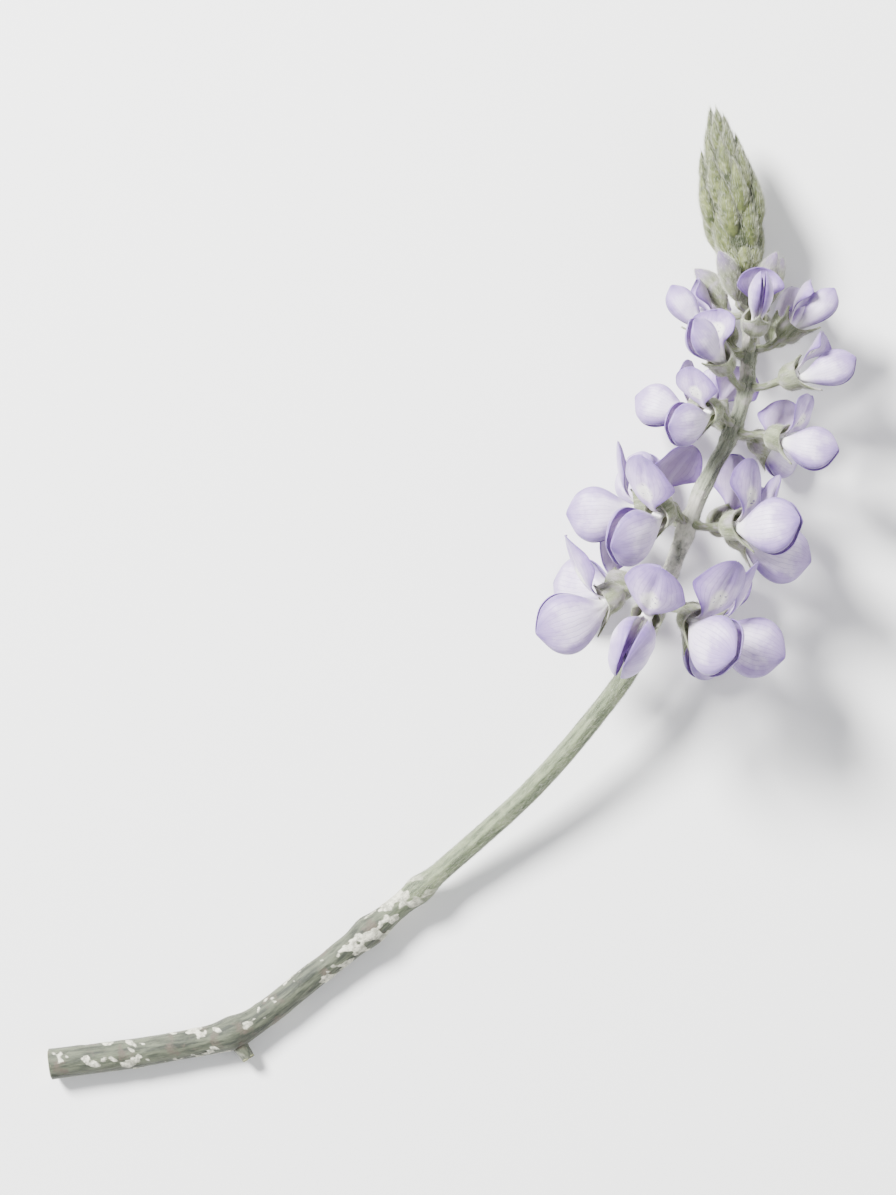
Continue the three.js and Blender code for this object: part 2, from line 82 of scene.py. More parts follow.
# Kind, distance below the cone, size, openness, rise and tilt in degrees, length of the stalk,
# and for each flower its angle round the stem and its own extra tilt.
WHORLS = (
    ("bloom", 49.5, 1.1, 1.0, 6, -16, 4.0,
     ((8, 10), (52, 4), (100, -26), (162, -30), (222, 0), (316, 0))),
    ("bloom", 37.0, 1.06, 0.95, 14, 2, 3.8,
     ((38, 16), (130, -44), (190, -30), (231, 4), (310, 4), (350, -2))),
    ("bloom", 22.0, 0.92, 0.8, 16, 8, 3.2,
     ((22, 0), (134, -46), (204, -14), (242, 4), (314, 0))),
    ("opening_bud", 16.2, 1.0, 0.45, 24, 26, 3.4,
     ((20, 0), (132, 0))),
    ("opening_bud", 10.5, 0.96, 0.26, 28, 47, 3.0,
     ((12, 0), (88, 0), (172, 0), (234, 0), (320, 0))),
    ("closed_bud", 4.6, 0.64, 0.0, 28, 60, 1.8,
     ((48, 0), (120, 0), (192, 0), (264, 0), (336, 0))),
)

# Side views of the petals as four points (forwards, up), in a bud and in an open bloom.
BANNER_LINE = (((1.4, 0.1), (4.2, 1.9), (8.6, 3.4), (11.8, 0.8)),
               ((1.4, 0.1), (4.2, -0.1), (5.0, 5.0), (3.6, 9.8)))
WING_TOP = (((1.6, -0.3), (6.0, -1.2), (7.0, 1.6), (10.8, -0.4)),
            ((1.6, -0.1), (5.0, -0.8), (6.8, 7.4), (12.5, 1.3)))
WING_FOOT = (((1.6, -0.5), (5.0, -1.1), (8.5, -4.2), (10.8, -1.0)),
             ((1.6, -0.3), (4.0, -1.4), (9.2, -8.4), (12.5, -1.0)))
KEEL_LINE = (((1.6, -0.3), (5.5, -1.2), (8.6, -1.4), (9.4, 0.2)),
             ((1.6, -0.3), (6.0, -2.4), (10.2, -2.4), (10.8, 1.0)))


# ---- small helpers ----

def mix(a, b, share):
    return a + (b - a) * share


def smooth(value, low, high):
    """0 below low, 1 above high, and 3t^2 - 2t^3 between."""
    t = np.clip((value - low) / (high - low), 0, 1)
    return t * t * (3 - 2 * t)


def hump(value, width):
    """1 at 0 and falling to both sides as a bell: e to the power of minus (value / width)^2."""
    return np.exp(-(value / width) ** 2)


def round_tip(u, start):
    """1 up to start, then a quarter of an ellipse down to 0 at u = 1."""
    t = np.clip((u - start) / (1 - start), 0, 1)
    return np.sqrt(1 - t * t)


def jitter(seed, draw):
    """A repeatable number from -1 to 1: twice the fraction of a large sine, less one."""
    n = math.sin(seed * 12.9898 + draw * 78.233) * 43758.5453
    return 2 * (n - math.floor(n)) - 1


def unit(vectors):
    return vectors / np.maximum(np.linalg.norm(vectors, axis=-1, keepdims=True), 1e-12)


def join(x, y, z):
    """Three arrays as one array of vectors."""
    return np.stack(np.broadcast_arrays(x, y, z), -1)


def turns(count):
    """Angles all the way round, as one row."""
    return np.linspace(0, 2 * np.pi, count, endpoint=False)[None]


def steps(first, last, count):
    """Even steps from first to last, as one column."""
    return np.linspace(first, last, count)[:, None]


def swing(a, b, angle):
    """The direction at an angle from a towards b, which are of length one and at right angles."""
    return a * math.cos(angle) + b * math.sin(angle)


def ring(angle, side, up):
    """Points of a unit circle: the cosine of the angle to the side and its sine up."""
    return np.cos(angle)[..., None] * side + np.sin(angle)[..., None] * up


def new_object(name, data):
    made = bpy.data.objects.new(name, data)
    bpy.context.scene.collection.objects.link(made)
    return made


def cubic(points, t):
    """Place and slope at t of the cubic curve drawn by four points."""
    w = 1 - t
    place = np.stack([w ** 3, 3 * w * w * t, 3 * w * t * t, t ** 3], -1) @ points
    slope = np.stack([-w * w, w * w - 2 * w * t, 2 * w * t - t * t, t * t], -1) @ points
    return place, slope


def side_curve(lines, openness, t):
    """(y, z) and slope (dy, dz) of a curve whose points lie between those of a bud and a bloom."""
    place, slope = cubic(mix(np.array(lines[0]), np.array(lines[1]), openness), t)
    return np.moveaxis(place, -1, 0), np.moveaxis(slope, -1, 0)


# ---- shells: closed surfaces gathered into one mesh ----

class Shell:
    """The points, faces and marks of one piece, gathered surface by surface.

    Two marks are kept at each point for the materials: place, the shares of the way along and
    across the surface, and grain, lengths in millimetres on the surface laid flat.
    """

    def __init__(self):
        self.points, self.places, self.grains = [], [], []
        self.corners, self.sizes, self.finishes = [], [], []
        self.count = 0

    def add(self, points, faces, finish, place, grain):
        """Adds one closed surface; its faces are turned outwards by the sign of its volume."""
        points = points.reshape(-1, 3)
        volume = 0.0
        for face in faces:
            a = points[face[:, 0]]
            for k in range(1, face.shape[1] - 1):
                b, c = points[face[:, k]], points[face[:, k + 1]]
                volume += np.einsum("ij,ij->", a, np.cross(b, c))
        for face in faces:
            turned = face if volume > 0 else face[:, ::-1]
            self.corners.append((turned + self.count).ravel())
            self.sizes.append(np.full(len(face), face.shape[1]))
            self.finishes.append(np.full(len(face), finish))
        self.points.append(points)
        self.places.append(np.broadcast_to(place, points.shape))
        self.grains.append(np.broadcast_to(grain, points.shape))
        self.count += len(points)

    def build(self, name, materials):
        """One smooth-shaded mesh object from all that was added, in metres and at the origin."""
        points = (np.concatenate(self.points) + ORIGIN_SHIFT) * METRES
        corners = np.concatenate(self.corners)
        sizes = np.concatenate(self.sizes)
        mesh = bpy.data.meshes.new(name)
        mesh.vertices.add(len(points))
        mesh.vertices.foreach_set("co", points.ravel())
        mesh.loops.add(len(corners))
        mesh.loops.foreach_set("vertex_index", corners)
        mesh.polygons.add(len(sizes))
        mesh.polygons.foreach_set("loop_start", np.cumsum(sizes) - sizes)
        mesh.polygons.foreach_set("material_index", np.concatenate(self.finishes))
        mesh.polygons.foreach_set("use_smooth", np.ones(len(sizes), bool))
        for label, rows in (("place", self.places), ("grain", self.grains)):
            layer = mesh.attributes.new(label, "FLOAT_VECTOR", "POINT")
            layer.data.foreach_set("vector", np.concatenate(rows).ravel())
        for material in materials:
            mesh.materials.append(material)
        mesh.update(calc_edges=True)
        return new_object(name, mesh)


def grid_quads(rows, columns, closed):
    """Corner numbers of a grid's quads; a closed grid joins its last column to its first."""
    across = np.arange(columns if closed else columns - 1)
    i, j = np.meshgrid(np.arange(rows - 1), across, indexing="ij")
    here, there = i * columns, (i + 1) * columns
    following = (j + 1) % columns
    return np.stack([here + j, here + following, there + following, there + j], -1).reshape(-1, 4)


def add_skin(shell, rings, finish, place, grain):
    """Adds a closed skin of rings of points, each of its two ends closed by a fan to its middle."""
    rows, sides = rings.shape[:2]
    points = np.concatenate([rings.reshape(-1, 3), rings[[0, -1]].mean(1)])
    j = np.arange(sides)
    following = (j + 1) % sides
    last = (rows - 1) * sides
    first_fan = np.stack([np.full(sides, rows * sides), following, j], -1)
    last_fan = np.stack([np.full(sides, rows * sides + 1), last + j, last + following], -1)
    marks = []
    for mark in (place, grain):
        mark = np.broadcast_to(mark, rings.shape)
        marks.append(np.concatenate([mark.reshape(-1, 3), mark[[0, -1]].mean(1)]))
    shell.add(points, [grid_quads(rows, sides, True), first_fan, last_fan], finish, *marks)


def directions_of(grid, closed):
    """Unit normals of a grid, the cross product of its two slopes, and the way its columns run."""
    along = np.gradient(grid, axis=0)
    if closed:
        across = np.roll(grid, -1, 1) - np.roll(grid, 1, 1)
    else:
        across = np.gradient(grid, axis=1)
    return unit(np.cross(across, along)), unit(along)


def add_blade(shell, grid, thickness, finish, place, grain):
    """Adds a thin closed sheet: the grid moved half its thickness both ways, and a rim between."""
    rows, columns = grid.shape[:2]
    half = directions_of(grid, False)[0] * thickness / 2
    points = np.concatenate([(grid + half).reshape(-1, 3), (grid - half).reshape(-1, 3)])
    quads = grid_quads(rows, columns, False)
    count = rows * columns
    index = np.arange(count).reshape(rows, columns)
    edge = np.concatenate([index[0, :-1], index[:-1, -1], index[-1, :0:-1], index[:0:-1, 0]])
    following = np.roll(edge, -1)
    rim = np.stack([following, edge, edge + count, following + count], -1)
    back, front = np.array(place), np.array(place)
    back[..., 2], front[..., 2] = 0, 1
    places = np.concatenate([back.reshape(-1, 3), front.reshape(-1, 3)])
    grains = np.concatenate([grain.reshape(-1, 3)] * 2)
    shell.add(points, [quads, quads[:, ::-1] + count, rim], finish, places, grains)


def add_hairs(shell, grid, finish, random, count, length, lean, width, closed=True):
    """Adds fine closed hairs on a grid, as many to an area as to any other.

    Each is a pyramid on a base of three points. It points along the grid's columns, leans off the
    surface by 0.6 to 1.4 times the angle lean, and strays a little to all sides.
    """
    SUNK, STRAY = 0.08, 0.16
    normal, along = directions_of(grid, closed)
    if closed:
        outwards = grid - grid.mean(1, keepdims=True)
        normal *= np.where(np.sum(normal * outwards, -1, keepdims=True) < 0, -1, 1)
    columns = grid.shape[1]
    wrapped = np.arange(columns if closed else columns - 1)
    following = (wrapped + 1) % columns
    a, b = grid[:-1][:, wrapped], grid[:-1][:, following]
    c, d = grid[1:][:, wrapped], grid[1:][:, following]
    area = np.linalg.norm(np.cross(b - a, c - a), axis=-1)
    cell = random.choice(area.size, count, p=area.ravel() / area.sum())
    i, j = np.unravel_index(cell, area.shape)
    s, t = random.random((2, count, 1))
    nearer = (1 - t) * a[i, j] + t * b[i, j]
    farther = (1 - t) * c[i, j] + t * d[i, j]
    root = mix(nearer, farther, s)
    turn = lean * (0.6 + 0.8 * random.random((count, 1)))
    heading = along[i, j] * np.cos(turn) + normal[i, j] * np.sin(turn)
    heading = unit(heading + STRAY * random.standard_normal((count, 3)))
    reach = length * (0.55 + 0.7 * random.random((count, 1)))
    across = unit(np.cross(heading, normal[i, j] + 1e-3))
    upward = np.cross(heading, across)
    root = root - heading * SUNK
    base = [root + width / 2 * swing(across, upward, q) for q in 2 * np.pi * np.arange(3) / 3]
    points = np.stack(base + [root + heading * reach], 1)
    start = 4 * np.arange(count)[:, None]
    sides = [start + np.array(side) for side in ((0, 1, 3), (1, 2, 3), (2, 0, 3), (0, 2, 1))]
    shade = np.repeat(random.random((count, 1)), 4, 1)
    out = np.tile([0, 0, 0, 1.0], (count, 1))
    place = np.stack([out, shade, shade], -1).reshape(-1, 3)
    shell.add(points, [np.concatenate(sides)], finish, place, points.reshape(-1, 3))


# ---- the stem ----

def route_table(points, samples):
    """A curve through the points, sampled evenly in each span, and its length up to each sample.

    Each span is a cubic in t whose slopes at its two points come from the steps to the points
    before and after, with every step timed by the square root of its length.
    """
    start, end = 2 * points[0] - points[1], 2 * points[-1] - points[-2]
    padded = np.concatenate([[start], points, [end]])
    timing = np.sqrt(np.linalg.norm(np.diff(padded, axis=0), axis=1))
    t = np.linspace(0, 1, samples, endpoint=False)[:, None]
    spans = []
    for k in range(1, len(points)):
        before, here, there, after = padded[k - 1:k + 3]
        d0, d1, d2 = timing[k - 1:k + 2]
        leave = ((here - before) / d0 - (there - before) / (d0 + d1) + (there - here) / d1) * d1
        arrive = ((there - here) / d1 - (after - here) / (d1 + d2) + (after - there) / d2) * d1
        square = -3 * here + 3 * there - 2 * leave - arrive
        cube = 2 * here - 2 * there + leave + arrive
        spans.append(here + leave * t + square * t ** 2 + cube * t ** 3)
    curve = np.concatenate(spans + [points[-1:]])
    lengths = np.concatenate([[0], np.cumsum(np.linalg.norm(np.diff(curve, axis=0), axis=1))])
    return curve, lengths


ROUTE, ROUTE_LENGTHS = route_table(STEM_ROUTE, 240)
ROUTE_SLOPES = unit(np.gradient(ROUTE, ROUTE_LENGTHS, axis=0))
STEM_LENGTH = ROUTE_LENGTHS[-1]


def along_route(distance, table):
    return np.stack([np.interp(distance, ROUTE_LENGTHS, table[:, k]) for k in range(3)], -1)


def stem_frame(distance):
    """Centre, and the directions along the stem, up and to its right, at a distance from the cut."""
    distance = np.asarray(distance, float)
    inside = np.clip(distance, 0, STEM_LENGTH)
    along = unit(along_route(inside, ROUTE_SLOPES))
    centre = along_route(inside, ROUTE) + along * (distance - inside)[..., None]
    up = unit(np.array([0, 0, 1.0]) - along * along[..., 2:3])
    return centre, along, up, np.cross(along, up)


def stem_radius(distance):
    """The woody foot, then the stalk that narrows to its tip, with a hump at each knot."""
    woody = mix(CUT_RADIUS, FOOT_END_RADIUS, np.minimum(distance / WOODY_LENGTH, 1))
    taper = np.maximum(0, (distance - TAPER_START) / (STEM_LENGTH - TAPER_START))
    green = mix(STALK_RADIUS, TIP_RADIUS, taper)
    knots = np.max([0.5 * hump(distance - at, 2.2) for at in KNOTS], axis=0)
    return mix(woody, green, smooth(distance, WOODY_LENGTH, WOODY_LENGTH + 14)) + knots


def list_flowers():
    """Every bloom and bud on the stem, from the table of whorls."""
    SHIFT, ROLL, GROWTH = 0.7, 7, 0.03  # the most that a flower strays from its whorl
    flowers = []
    for kind, along, size, openness, rise, tilt, stalk, blooms in WHORLS:
        for angle, extra_tilt in blooms:
            seed = len(flowers) + 1
            flowers.append(SimpleNamespace(
                kind=kind,
                number=sum(other.kind == kind for other in flowers) + 1,
                seed=seed,
                open=openness,
                stalk=stalk,
                angle=math.radians(angle),
                distance=STEM_LENGTH - along + SHIFT * jitter(seed, 1),
                rise=math.radians(rise),
                tilt=math.radians(tilt + extra_tilt),
                roll=math.radians(ROLL * jitter(seed, 2)),
                size=size * (1 + GROWTH * jitter(seed, 3)),
            ))
    return flowers


FLOWERS = list_flowers()
SEATS = np.array([[flower.distance, flower.angle] for flower in FLOWERS])


def around_seats(distance, angle, below, length, turn):
    """The highest of humps on the stem, one for each flower, a distance below its stalk's seat."""
    distance, angle = np.broadcast_arrays(distance, angle)
    away = angle[..., None] - SEATS[:, 1]
    away = np.arctan2(np.sin(away), np.cos(away))
    offset = distance[..., None] - SEATS[:, 0] + below
    return np.max(hump(offset, length) * hump(away, turn), -1)


def seat_swelling(distance, angle):
    return 0.35 * around_seats(distance, angle, 0, 1.3, 0.5)


def waves(distance, angle, wavelength, most_turns, seed):
    """A smooth random pattern that closes round the stem.

    It is a sum of sines, each with a whole number of turns round the stem and its own wavelength
    along it, divided by the square root of half their number.
    """
    COUNT = 16
    random = np.random.default_rng(seed)
    total = 0
    for _ in range(COUNT):
        round_it = random.integers(-most_turns, most_turns + 1)
        along = 2 * np.pi * random.uniform(0.4, 1.6) / wavelength
        total = total + np.sin(along * distance + round_it * angle + random.uniform(0, 2 * np.pi))
    return total / math.sqrt(COUNT / 2)


def stem_rings(distance, angle):
    """Points of the stem's skin, its radius, and how far each point is a flake of bark.

    The radius is the round stem's, plus a seat under each bloom, a bract's scar below it, fine
    ribs along the green stalk, and on the woody foot flakes with sharp edges and shallow cracks.
    """
    centre, _, up, side = stem_frame(distance[:, 0])
    woody = 1 - smooth(distance, WOODY_LENGTH + 4, WOODY_LENGTH + 18)
    flowering = smooth(distance, STEM_LENGTH - 56, STEM_LENGTH - 48)
    # Each pattern has its wavelength, its most turns round the stem and its seed.
    flake = waves(distance, angle, 16, 4, 5) + 0.7 * waves(distance, angle, 5, 8, 6)
    flake = flake + 0.3 * waves(distance, angle, 1.8, 14, 9)
    flake = smooth(flake + 1.25 * hump(distance - FLAKIEST, 9) - 0.6, 0.4, 1.15)
    crack = smooth(np.abs(waves(distance, angle, 30, 7, 7)), 0.0, 0.16)
    ribs = 0.05 * np.cos(7 * angle + 0.02 * distance) + 0.02 * np.cos(17 * angle - 0.03 * distance)
    lumps = 0.05 * waves(distance, angle, 7, 2, 8)
    radius = stem_radius(distance) + seat_swelling(distance, angle)
    radius = radius + 0.16 * around_seats(distance, angle, 1.9, 0.42, 0.75)
    radius = radius + woody * (0.07 * flake - 0.12 * (1 - crack) - 0.04 + 0.6 * lumps)
    radius = radius + (1 - woody) * (ribs + lumps * (0.12 + flowering))
    points = centre[:, None] + radius[..., None] * ring(angle, side[:, None], up[:, None])
    return points, radius, woody * flake


def above_surface(points):
    """Presses what would reach below the surface flat against it.

    Heights under half a millimetre are squeezed by an exponential that starts with slope one
    and never gets below the clearance.
    """
    ZONE, CLEAR = 0.5, 0.03
    height = points[..., 2]
    pressed = CLEAR + (ZONE - CLEAR) * np.exp(np.minimum(height - ZONE, 0) / (ZONE - CLEAR))
    height = np.where(height < ZONE, pressed, height)
    return np.concatenate([points[..., :2], height[..., None]], -1)


def add_cut_face(shell, centre, along, up, radius, finish):
    """The cut end of a twig: a low dome of rings, with bark outside and pith in the middle."""
    share = np.array([1.0, 0.99, 0.93, 0.8, 0.6, 0.4, 0.28, 0.2, 0.1, 0.02])[:, None]
    height = np.array([-0.25, 0.0, 0.1, 0.12, 0.14, 0.15, 0.1, 0.04, 0.02, 0.0])[:, None]
    angle = turns(40)
    rough = 1 + 0.02 * np.sin(5 * angle + 1) + 0.015 * np.sin(9 * angle)
    out = (radius * share * rough)[..., None] * ring(angle, np.cross(along, up), up)
    rings = centre + out - (height + 0.03 * np.sin(3 * angle))[..., None] * along
    place = join(share, angle / (2 * np.pi), 0.0)
    add_skin(shell, above_surface(rings), finish, place, out)


def make_stem():
    """The stem in one skin, with the stub of a twig at its first knot and two cut faces."""
    ROWS = 640
    HAIRS_FROM = 60.0  # distance from the cut
    SKIN, CUT, HAIR = 0, 1, 2
    shell = Shell()
    distance, angle = np.broadcast_arrays(steps(0, STEM_LENGTH + 1.0, ROWS), turns(56))
    points, radius, flake = stem_rings(distance, angle)
    points = above_surface(points)
    place = join(distance / STEM_LENGTH, angle / (2 * np.pi), flake)
    grain = join(radius * np.cos(angle), radius * np.sin(angle), distance)
    add_skin(shell, points, SKIN, place, grain)

    ROOT, REACH, DRIFT = 0.5, 4.3, 0.9  # of the stub: beside the stem, and on along it
    centre, along, up, side = stem_frame(KNOTS[0])
    t = steps(0, 1, 18)
    angle = turns(30)
    width = mix(1.5, 1.05, t) + 0.35 * hump(t - 0.05, 0.25) - 0.12 * t
    width = width + 0.04 * np.sin(4 * angle + 9 * t)
    middle = centre + mix(ROOT, REACH, t[..., None]) * side + DRIFT * t[..., None] * along
    rings = middle + width[..., None] * ring(angle, along, up)
    place = join(KNOTS[0] / STEM_LENGTH, t, 0.4 * np.sin(2 * angle + 5 * t))
    grain = join(width * np.cos(angle), width * np.sin(angle), 4 * t + 90)
    add_skin(shell, above_surface(rings), SKIN, place, grain)
    outwards = unit((REACH - ROOT) * side + DRIFT * along)
    add_cut_face(shell, middle[-1, 0], -outwards, up, 0.95, CUT)
    foot, along, up, _ = stem_frame(0.0)
    add_cut_face(shell, foot, along, up, CUT_RADIUS - 0.12, CUT)

    green = points[int(ROWS * HAIRS_FROM / STEM_LENGTH):]
    add_hairs(shell, green, HAIR, np.random.default_rng(11),
              count=16000, length=0.7, lean=0.26, width=0.03)
    dress(shell.build("stem_skin", [STEM_FINISH, CUT_WOOD, SILKY_HAIR]), "stem")


# ---- petals, in a flower's own frame ----

def banner_line(openness, u, forwards):
    """A point of the banner's middle line, moved forwards of its face."""
    (y, z), (dy, dz) = side_curve(BANNER_LINE, openness, u)
    length = np.hypot(dy, dz)
    return y + forwards * dz / length, z - forwards * dy / length


def banner_curl(flower, u, v, narrowest):
    """The banner's width as a share of its widest, its place across, and how far forwards it lies.

    A narrow claw opens to a round blade whose sides are on a cylinder: they fold back in a bloom
    and wrap the wings in a bud. The blade is also twisted a little, by the square of u times v.
    """
    outline = mix(0.14, 1, smooth(u, 0.31, 0.7)) * round_tip(u, 0.55)
    outline = np.maximum(outline, narrowest)
    bend = mix(-2.0, 0.75, flower.open)
    radius = BANNER_HALF_WIDTH / (0.05 if abs(bend) < 0.05 else bend)
    angle = BANNER_HALF_WIDTH * outline * v / radius
    twist = 0.3 * jitter(flower.seed, 4) * u * u * v
    return outline, radius * np.sin(angle), -radius * (1 - np.cos(angle)) + twist


def banner_sheet(flower, u, v):
    """The banner with a groove up its middle and an edge drawn into low waves.

    They are sines of u that grow with the fourth power of v.
    """
    outline, x, forwards = banner_curl(flower, u, v, 0.025)
    seed = flower.seed
    groove = -0.42 * hump(v * outline, 0.13) * smooth(u, 0.25, 0.5) * (1 - smooth(u, 0.8, 1.0))
    frill = 0.2 * v ** 4 * np.sin(11 * u + 2.1 * seed)
    frill = frill + 0.11 * v ** 4 * np.sin(23 * u + 1.3 * seed + v)
    forwards = forwards + groove * mix(0.3, 1, flower.open) + frill * outline
    return join(x, *banner_line(flower.open, u, forwards)), BANNER_HALF_WIDTH * outline * v


def wing_belly(flower, u):
    return mix(0.45, 1, flower.open) * np.sin(np.pi * u ** 1.5)


def wing_shape(flower, side, u, v, reach, start, relief):
    """A wing between its lower and its upper line, and lengths across it.

    It bulges outwards by the square root of 1 - v^2 times a belly that is fullest at two thirds
    of its length, and reach is how far towards either line it goes.
    """
    top_y, top_z = side_curve(WING_TOP, flower.open, u)[0]
    foot_y, foot_z = side_curve(WING_FOOT, flower.open, u)[0]
    belly = wing_belly(flower, u)
    x = start + WING_BULGE * belly * np.sqrt(1 - v * v) + 0.3 * np.maximum(0, v) * belly + relief
    share = (1 + reach) / 2
    across = np.hypot(top_y - foot_y, top_z - foot_z) / 2
    return join(side * x, mix(foot_y, top_y, share), mix(foot_z, top_z, share)), across * v


def wing_sheet(flower, side, u, v):
    """One wing with a round tip, and small curved folds in its upper part near the claw."""
    reach = v * np.maximum(round_tip(u, 0.87), 0.06)
    folds = hump(u - 0.36, 0.13) * hump(v - 0.35, 0.4) * np.sin(20 * u - 7 * v + flower.seed)
    ripple = 0.05 * np.sin(9 * v + 5 * u + flower.seed) * wing_belly(flower, u)
    return wing_shape(flower, side, u, v, reach, 0.36, 0.13 * folds + ripple)


def add_petal(shell, flower, sheet, rows, columns, finish):
    """Adds a petal whose u and v run by sines, with points closer at its tip and its edges."""
    u = np.sin(np.linspace(0, np.pi / 2, rows))
    v = np.sin(np.linspace(-np.pi / 2, np.pi / 2, columns))
    u, v = np.meshgrid(u, v, indexing="ij")
    grid, across = sheet(u, v)
    grid = flower.put(grid)
    thickness = PETAL * flower.size * (1 - 0.45 * v ** 4)[..., None]
    grain = join(across, 11 * u, 7.0 * flower.seed)
    add_blade(shell, grid, thickness, finish, join(u, v, 0.0), grain)
    return grid


def add_keel(shell, flower, finish):
    """The keel: a slim boat on its own line whose beak turns up, an ellipse in section.

    At its widest it is 0.34 to each side and 0.85 up and down.
    """
    t, angle = steps(0, 1, 22), turns(14)
    (y, z), (dy, dz) = side_curve(KEEL_LINE, flower.open, t)
    length = np.hypot(dy, dz)
    swell = mix(0.4, 1, np.sin(np.pi * t)) * np.maximum(round_tip(t, 0.8), 0.12)
    up = 0.85 * swell * np.sin(angle)
    rings = join(-0.34 * swell * np.cos(angle), y - up * dz / length, z + up * dy / length)
    grain = join(up, 9 * t, 7.0 * flower.seed)
    add_skin(shell, flower.put(rings), finish, join(t, np.sin(angle), 0.0), grain)


def make_petals(flower, name):
    """The five petals, joined at their claws by a short tube."""
    BANNER, WING, KEEL, HAIR = 0, 1, 2, 3
    shell = Shell()
    t, angle = steps(0, 1, 5), turns(16)
    x = -mix(0.8, 0.75, t) * np.cos(angle)
    z = -0.15 * t + mix(0.8, 0.65, t) * np.sin(angle)
    claws = flower.put(join(x, mix(1.1, 2.9, t), z))
    add_skin(shell, claws, WING, np.array([0.02, 0, 0]), np.array([0, 0, 7.0 * flower.seed]))
    banner = add_petal(shell, flower, partial(banner_sheet, flower), 44, 34, BANNER)
    for side in (1, -1):
        add_petal(shell, flower, partial(wing_sheet, flower, side), 38, 26, WING)
    add_keel(shell, flower, KEEL)
    add_hairs(shell, banner[12:-6, 9:-9], HAIR, np.random.default_rng(300 + flower.seed),
              count=260, length=0.5, lean=0.25, width=0.03, closed=False)
    finishes = [BANNER_PETAL, WING_PETAL, KEEL_PETAL, SILKY_HAIR]
    dress(shell.build(f"{name}_corolla", finishes), f"{name}_petals")


# ---- calyx and closed bud ----

def stalk_rings(flower, t, angle, radius):
    """Rings round the line of the bloom's stalk, the first a little inside the stem."""
    middle, slope = cubic(flower.stalk_points, t)
    along = unit(slope)
    side = unit(np.array([-1.0, 0, 0]) + along * along[:, :1])
    up = np.cross(along, side)
    return middle[:, None] + radius[:, None, None] * ring(angle, side[:, None], up[:, None])


def make_calyx(flower, name):
    """The calyx: the stalk, a cup, and the mouth of the cup drawn out into two lips.

    A point of the mouth at an angle is drawn towards the tip of its lip by the fourth power of
    the sine of the angle. The upper lip is notched and the lower one ends in three low teeth.
    """
    MOUTH = CUP_MOUTH + 0.3
    FELT, HAIR = 0, 1
    shell = Shell()
    wall = CALYX_WALL / flower.size
    clear = (SOLID_BLADE / 2 + 1.3 * SEAT_GAP) / flower.size
    angle = turns(40)
    upper = np.sin(angle) > 0
    from_top = np.arctan2(np.cos(angle), np.abs(np.sin(angle)))
    notch = 1 - 0.14 * hump(from_top, 0.13)
    teeth = 1 - 0.035 * (1 - np.cos(15 * from_top))
    drawn = np.sin(angle) ** 4 * np.where(upper, notch, teeth)

    def cup(y, radius):
        return join(-radius * np.cos(angle), y, radius * np.sin(angle))

    def lip(radius, out, share):
        y, z = banner_line(flower.open, np.array(0.42), -(clear + out))
        foot_y, foot_z = side_curve(WING_FOOT, flower.open, np.array(0.4))[0]
        tip = np.where(upper[..., None], join(0.0, y, z), join(0.0, foot_y, foot_z - clear - out))
        return mix(cup(MOUTH, radius), tip, (drawn * share)[..., None])

    stalk_t = np.linspace(0, 0.96, 16)
    stalk_radius = 1 + 0.5 * hump(stalk_t, 0.12) + 0.25 * stalk_t ** 3
    stalk = stalk_rings(flower, stalk_t, angle, BLOOM_STALK_RADIUS / flower.size * stalk_radius)
    outer_y = np.array([0.0, 0.25, 0.6, 1.05, 1.6, 2.1, MOUTH])[:, None]
    outer_r = np.array([0.85, 1.3, 1.65, 1.92, 2.05, 2.1, 2.12])[:, None] + (wall - CALYX_WALL)
    mouth_r = outer_r[-1, 0]
    inner_y = np.array([2.0, 1.3, 0.9])[:, None]
    inner_r = np.array([mouth_r - wall - 0.1, mouth_r - wall - 0.25, 0.9])[:, None]
    shares = steps(0.1, 1.0, 9)
    outside = np.concatenate([stalk, cup(outer_y, outer_r), lip(mouth_r, wall, shares)])
    inside = np.concatenate([lip(mouth_r - wall, 0.0, shares[::-1]), cup(inner_y, inner_r)])
    rings = flower.put(np.concatenate([outside, inside]))
    row = steps(0, 1, len(rings))
    is_inside = (np.arange(len(rings)) >= len(outside))[:, None] * 1.0
    grain = join(2 * np.cos(angle), 2 * np.sin(angle), 16 * row + 7.0 * flower.seed)
    add_skin(shell, rings, FELT, join(row, np.sin(angle), is_inside), grain)
    add_hairs(shell, rings[:len(outside)], HAIR, np.random.default_rng(600 + flower.seed),
              count=620, length=0.7, lean=0.42, width=0.032)
    dress(shell.build(f"{name}_cup", [CALYX_FELT, SILKY_HAIR]), f"{name}_calyx")


